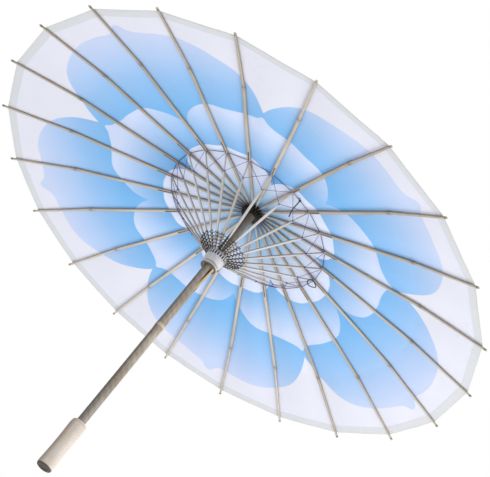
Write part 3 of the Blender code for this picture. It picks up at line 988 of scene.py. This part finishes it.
def make_latch():
    """A warm bamboo spring strip, bowed a little, standing out of the shaft's slot."""
    g = Graph("latch_bamboo", specular=0.4)
    place = g.object_place()
    fibre = g.noise(g.scaled(place, (1600, 1600, 30)), 1.0, 4.0, 0.6)
    color = g.mix(g.step(fibre, 0.4, 0.65), "C6A682", "9A7B59")
    tip = g.step(g.split(place)[2], 0.0385, 0.0447)
    color = g.tint(color, tip, 0.5, "D6C7AC")
    material = g.finish(color, fibre, 0.25, 0.0002)
    reach = LATCH_TIP - LATCH_FOOT
    length, half_thickness, half_width = reach.length, LATCH_THICKNESS / 2, LATCH_WIDTH / 2
    vertices, rows, sides = [], 28, 12
    for row in range(rows):
        t = row / (rows - 1)
        z = -half_thickness * 0.9 + (length - 0.0001 + half_thickness * 0.9) * t
        thick = half_thickness * (0.92 - 0.22 * t) * min(1.0, 0.35 + t * 9)
        wide = half_width * (0.96 - 0.10 * t) * min(1.0, 0.6 + (1 - t) * 14)
        bow = 0.0003 * math.sin(math.pi * t)
        for side in range(sides):
            turn = math.tau * (side + 0.5) / sides
            c, s = math.cos(turn), math.sin(turn)
            x = thick * math.copysign(abs(c) ** 0.5, c) + bow
            vertices.append((x, wide * math.copysign(abs(s) ** 0.5, s), z))
    latch = add_mesh("latch_strip", vertices, ring_faces(rows, sides), material)
    mark_sharp(latch, 50)
    place = around_shaft(LATCH_FOOT.x, LATCH_FOOT.z, LATCH_AZIMUTH)
    latch.matrix_world = placed(place, math.atan2(reach.x, reach.z), LATCH_AZIMUTH)
    bind(latch, "latch", "latch")


def make_handle():
    # Painted shade on the side away from the lights, and a dark bottom that is partly end grain and partly
    # painted shade.
    material = turned_wood(
        "handle_wood", "CAC0B6", "C0B3A5", end=(0.0016, 0.0016, "4C4643"),
        rings=((0.0745, 0.0008, "B79F80"),), shaded=0.75,
    )
    floor, bore = SHAFT_BOTTOM - GAP, 0.0067
    profile = [
        (0, floor), (bore, floor), (bore, 0.0779), (0.0080, 0.0780), (0.0092, 0.0778), (0.0101, 0.0772),
        (0.0106, 0.0762), (0.0108, 0.0750), (0.0107, 0.0746), (0.0109, 0.0742), (0.0112, 0.0715),
        (0.01125, 0.0680), (0.0111, 0.0620), (0.0109, 0.0560), (0.0107, 0.0480), (0.0107, 0.0400),
        (0.0107, 0.0320), (0.0109, 0.0220), (0.0111, 0.0140), (0.0113, 0.0080), (0.0113, 0.0045),
        (0.0112, 0.0028), (0.0109, 0.0014), (0.0103, 0.0005), (0.0096, 0.0001), (0.0080, 0.0),
        (0.0070, 0.0), (0.0066, 0.0004), (0.0060, 0.0012), (0.0030, 0.0014), (0, 0.0014),
    ]
    handle = lathe("turned_handle", profile, material, 72)
    bind(handle, "shaft_assembly", "handle")


def make_hub():
    material = turned_wood("hub_wood", "24231E", "121210")
    profile = [
        (0.0164, HUB_TOP), (0.0170, HUB_TOP - 0.0006), (0.0170, -0.0060), (0.0161, HUB_BOTTOM),
        (SOCKET_RADIUS, HUB_BOTTOM), (SOCKET_RADIUS, HUB_TOP),
    ]
    hub = lathe("slotted_hub", rounded(profile), material, 88, z=HUB_HINGE_Z)
    low = (0.0110, -SLOT_WIDTH / 2, HUB_HINGE_Z - 0.0080)
    high = (0.0230, SLOT_WIDTH / 2, HUB_HINGE_Z + 0.0016)
    cut(hub, boxes(AZIMUTHS, low, high), bevel=0.00012)
    bind(hub, "shaft_assembly", "hub")


def make_runner():
    """The head has short open slots for the stretchers' feet, and a plain wall below them."""
    # The near-black colour inside the head is painted shade.
    material = turned_wood(
        "runner_wood", "CAC8CA", "AEABAA", end=(-0.0228, 0.0012, "6A625A"),
        rings=((-0.0172, 0.0012, "8C857D"),), hollow=(0.0152, -0.006, "1A1917"),
    )
    top = 0.0032
    profile = [
        (0.0150, top), (0.0155, top - 0.0006), (0.0155, -0.0060), (0.01545, -0.0063), (0.0155, -0.0066),
        (0.01545, -0.0082), (0.0152, -0.0104), (0.0146, -0.0124), (0.0137, -0.0140), (0.0127, -0.0153),
        (0.0119, -0.0163), (0.0117, -0.0172), (0.0120, -0.0180), (0.0128, -0.0186), (0.0132, -0.0194),
        (0.0134, -0.0208), (0.0133, -0.0220), (0.0129, -0.0228), (0.0123, -0.0230), (0.0104, -0.0230),
        (0.0086, -0.0218), (0.0077, -0.0205), (0.0076, -0.0190), (0.0076, top),
    ]
    runner = lathe("turned_runner", profile, material, 88)
    low, high = (0.0105, -SLOT_WIDTH / 2, -0.0052), (0.0230, SLOT_WIDTH / 2, 0.0060)
    tie, room = 0.0096, 0.00075
    channel = [
        (tie + room, top + 0.002), (tie + room, top - 2 * room), (tie - room, top - 2 * room),
        (tie - room, top + 0.002),
    ]
    ring = lathe("channel", channel, material, 88)
    cut(runner, boxes(AZIMUTHS, low, high), ring, bevel=0.00014)
    runner.matrix_world = Matrix.Translation((0, 0, RUNNER_HINGE_Z))
    bind(runner, "runner", "runner")


def make_crown():
    """The cap over the crown with its ferrule, and the ring of cloth under it."""
    g = Graph("crown_cloth", roughness=0.85, specular=0.2, Sheen_Weight=0.15)
    place = g.object_place()
    fold = g.noise(g.scaled(place, (260, 260, 260)), 1.0, 3.0)
    color = g.mix(fold, "5C97DC", "86B6EA")
    cloth = g.finish(color, fold, 0.35, 0.0004)
    top = CROWN_Z + 0.0006
    upper = [
        (0.0099, 0.00235), (0.0140, 0.0021), (0.0185, 0.0015), (0.0230, 0.0004), (0.0262, -0.0007),
        (0.0271, -0.0012),
    ]
    lower = [
        (0.0270, -0.0017), (0.0255, -0.0012), (0.0225, -0.0003), (0.0180, 0.0004), (SOCKET_RADIUS, 0.0004),
        (SOCKET_RADIUS, 0.00235),
    ]

    def pleats(turn, radius, height):
        size = 0.00016 * max(0.0, (radius - 0.012) / 0.015)
        return 0.0, size * (1 - math.cos(turn * RIB_COUNT)) * (1 if height > 0 else 0.6)

    cap = lathe("crown_cap_cloth", upper + lower, cloth, 176, z=top, waves=pleats)
    bind(cap, "shaft_assembly", "crown_cap")
    ring_profile = [(0.0175, 0.0006), (0.0179, 0.0003), (0.0175, 0.0), (0.0080, 0.0), (0.0080, 0.0006)]
    ring = lathe("crown_ring_cloth", ring_profile, cloth, 88, z=CROWN_Z)
    bind(ring, "shaft_assembly")
    wood = turned_wood(
        "ferrule_wood", "EBDCC8", "CDB596",
        rings=((0.5188, 0.0007, "9C8464"), (0.5330, 0.0006, "9C8464")),
    )
    profile = [
        (0, 0.5410), (0.0022, 0.54085), (0.0042, 0.5404), (0.0058, 0.5396), (0.0069, 0.5385),
        (0.0077, 0.5368), (0.0081, 0.5348), (0.00805, 0.5334), (0.0078, 0.5330), (0.00805, 0.5326),
        (0.0083, 0.5300), (0.0085, 0.5250), (0.0088, 0.5200), (0.0087, 0.5190), (0.0089, 0.5184),
        (0.0094, 0.5160), (0.0098, 0.5142), (0.0098, 0.5123), (0.0096, 0.5121), (SOCKET_RADIUS, 0.5121),
        (SOCKET_RADIUS, SHAFT_TOP + GAP), (0, SHAFT_TOP + GAP),
    ]
    ferrule = lathe("turned_ferrule", profile, wood, 56)
    bind(ferrule, "shaft_assembly", "ferrule")


# ---------------------------------------------------------------- threads

THREAD_HALF = 0.00042
LACE_HALF = 0.00034
LACE_PLACE = 0.027
WHIPPING_HALF = 0.00042
WHIPPING_LIFT = 0.00155
FOOT_LACE_HALF = 0.00028
FOOT_LACE_START = 0.1150
FOOT_LACE_END = 0.1400
FOOT_LACE_ROWS = 6


def on_stretcher(index, distance, lift=0.0):
    """A point of a stretcher's centre line, so far from its pivot."""
    radius = PIVOT_RADIUS - distance * math.cos(STRETCHER_SLOPE) + lift * math.sin(STRETCHER_SLOPE)
    height = PIVOT_Z - distance * math.sin(STRETCHER_SLOPE) - lift * math.cos(STRETCHER_SLOPE)
    return around_shaft(radius, height, azimuth_of(index))


def half_line(start, end, sag):
    """Points along the first half of a thread that hangs a little below the straight line."""
    points = []
    for step in range(7):
        t = step / 12
        points.append(start.lerp(end, t) + Vector((0, 0, -4 * sag * t * (1 - t))))
    return points


def wrap(index, distance, half_thickness, half_width, turns=2):
    """Thread wound round a stretcher."""
    points = []
    steps = 16 * turns
    for step in range(steps + 1):
        turn = math.tau * step / 16
        c, s = math.cos(turn), math.sin(turn)
        across = (half_width + LACE_HALF) * math.copysign(abs(c) ** 0.6, c)
        lift = (half_thickness + LACE_HALF) * math.copysign(abs(s) ** 0.6, s)
        point = on_stretcher(index, distance + 0.0007 * (step / steps - 0.5) * turns, lift)
        points.append(point + Vector(tangent_of(index)) * across)
    return points


def winding(index, hand, phase, turns=5):
    """Loose whipping along a stretcher's narrow foot, wider where the bars stand apart."""
    points = []
    across_unit = Vector(tangent_of(index))
    steps = 12 * turns
    for step in range(steps + 1):
        t = step / steps
        turn = hand * math.tau * (turns * t + phase)
        width = 0.0022 - 0.0010 * t
        distance = FOOT_LACE_START + (FOOT_LACE_END - FOOT_LACE_START) * t
        point = on_stretcher(index, distance, WHIPPING_LIFT * math.sin(turn))
        points.append(point + across_unit * width * math.cos(turn))
    return points


def pivot_of(index):
    return around_shaft(PIVOT_RADIUS, PIVOT_Z, azimuth_of(index))


def tie(name, lines, half, material, body, index, height, keep, sides=6, node=None):
    """Threads as one piece that rides on a body."""
    piece = tubes(name, lines, half, material, sides)
    bind(piece, body, node)
    tangent_of(index)
    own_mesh(piece)
    return piece


def make_threads():
    navy = thread_material("navy_thread", "34347F", "25255C")
    violet = thread_material("violet_thread", "7A55A6", "4A3C8C")
    dark = thread_material("foot_thread", "3C3C40", "222226")
    for name in ("hub_thread", "runner_thread"):
        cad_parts[name].data.materials.clear()
        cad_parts[name].data.materials.append(dark)
    for index in INDEXES:
        rib, stretcher = f"rib_{index:02d}", f"stretcher_{index:02d}"
        before, after = index - 1, index + 1
        pivot = pivot_of(index)
        line = half_line(pivot, pivot_of(before), 0.0)[::-1] + half_line(pivot, pivot_of(after), 0.0)[1:]
        name = f"pivot_thread_{index:02d}"
        tie(name, [line], THREAD_HALF, navy, rib, index, PIVOT_Z, PIVOT_KEEP, 8, "pivot_thread")
        tied = on_stretcher(index, LACE_PLACE)
        lines = [wrap(index, LACE_PLACE, 0.00116, 0.00090)]
        for other in (before, after):
            sag = random_draw.uniform(0.0, 0.0008)
            lines.append(half_line(tied, pivot_of(other), sag))
            lines.append(half_line(pivot, on_stretcher(other, LACE_PLACE), sag))
        tie(f"lacing_{index:02d}", lines, LACE_HALF, violet, stretcher, index, PIVOT_Z, PIVOT_KEEP)
        lines = [winding(index, hand, random_draw.uniform(0, 1)) for hand in (1, -1)]
        name = f"foot_whipping_{index:02d}"
        tie(name, lines, WHIPPING_HALF, dark, stretcher, index, RUNNER_HINGE_Z, WHIPPING_KEEP)
        lines = []
        pitch = (FOOT_LACE_END - FOOT_LACE_START) / (FOOT_LACE_ROWS - 1)
        for row in range(FOOT_LACE_ROWS):
            tied = on_stretcher(index, FOOT_LACE_START + pitch * row)
            for other in (before, after):
                for other_row in (row - 1, row + 1):
                    if other_row >= 0:
                        place = FOOT_LACE_START + pitch * min(other_row, FOOT_LACE_ROWS - 1)
                        lines.append(half_line(tied, on_stretcher(other, place), 0.0003))
        name = f"foot_lacing_{index:02d}"
        tie(name, lines, FOOT_LACE_HALF, dark, stretcher, index, RUNNER_HINGE_Z, FOOT_KEEP)


KNOT_RIB = 5
KNOT_SHARE = 0.42
KNOT_HALF = 0.00048
LOOP_HALF = 0.00070
LOOP_RIB = 10
TAIL_LENGTH = 0.032
TAIL_DIAMETER = 0.0017


def make_knot():
    """The lacing's knot with its loose tail, and a small loop of spare thread farther round."""
    teal = thread_material("knot_thread", "1F5252", "123636")
    azimuth = azimuth_of(KNOT_RIB + KNOT_SHARE)
    from_middle = azimuth_of(KNOT_RIB + 0.5) - azimuth
    centre = around_shaft(PIVOT_RADIUS * math.cos(HALF_GORE) / math.cos(from_middle), PIVOT_Z, azimuth)
    loop = []
    for step in range(49):
        t = math.tau * step / 48
        size = 0.00105 * (2 + math.cos(3 * t)) / 2
        loop.append(centre + around_shaft(size, 0.0009 * math.sin(3 * t), 2 * t))
    end = [centre, centre + Vector((0.004, 0.002, 0.0006)), centre + Vector((0.0065, 0.0015, -0.0018))]
    rib, stretcher = f"rib_{KNOT_RIB:02d}", f"stretcher_{KNOT_RIB:02d}"
    knot = tie("lacing_knot", [loop, end], KNOT_HALF, teal, rib, KNOT_RIB, PIVOT_Z, KNOT_KEEP, 8)
    exit_point = centre + Vector((0, 0, -0.0014))
    path, steps = [], 22
    for step in range(steps + 1):
        t = step / steps
        swing = Vector((0.0016 * math.sin(t * 5.2), 0.0012 * math.sin(t * 7.4 + 0.2) - 0.00024, 0))
        path.append(exit_point + swing * t + Vector((0, 0, -TAIL_LENGTH * 0.972 * t)))
    half = TAIL_DIAMETER / 2
    tail = tie("lacing_tail", [path], half, teal, stretcher, KNOT_RIB, PIVOT_Z, KNOT_KEEP, 10)
    dark = thread_material("loop_thread", "2E2E3E", "1C1C28")
    azimuth = azimuth_of(LOOP_RIB)
    across, out = Vector(tangent_of(LOOP_RIB)), around_shaft(1.0, 0.0, azimuth)
    hang = around_shaft(PIVOT_RADIUS, PIVOT_Z - 0.0070, azimuth)
    ring = []
    for step in range(33):
        t = math.tau * step / 32
        wobble = 1 + 0.12 * math.sin(2 * t + 0.7)
        ring.append(
            hang + out * 0.0070 * math.cos(t) * wobble
            + Vector((0, 0, 0.0052 * math.sin(t))) + across * 0.0012 * math.sin(2 * t)
        )
    tie("spare_loop", [ring], LOOP_HALF, dark, f"rib_{LOOP_RIB:02d}", LOOP_RIB, PIVOT_Z, LOOP_KEEP, 8)


make_stage()
make_camera()
make_shaft()
make_latch()
make_handle()
make_hub()
make_runner()
make_threads()
make_knot()
rib_pieces = make_ribs()
make_stretchers()
make_strips()
make_crown()
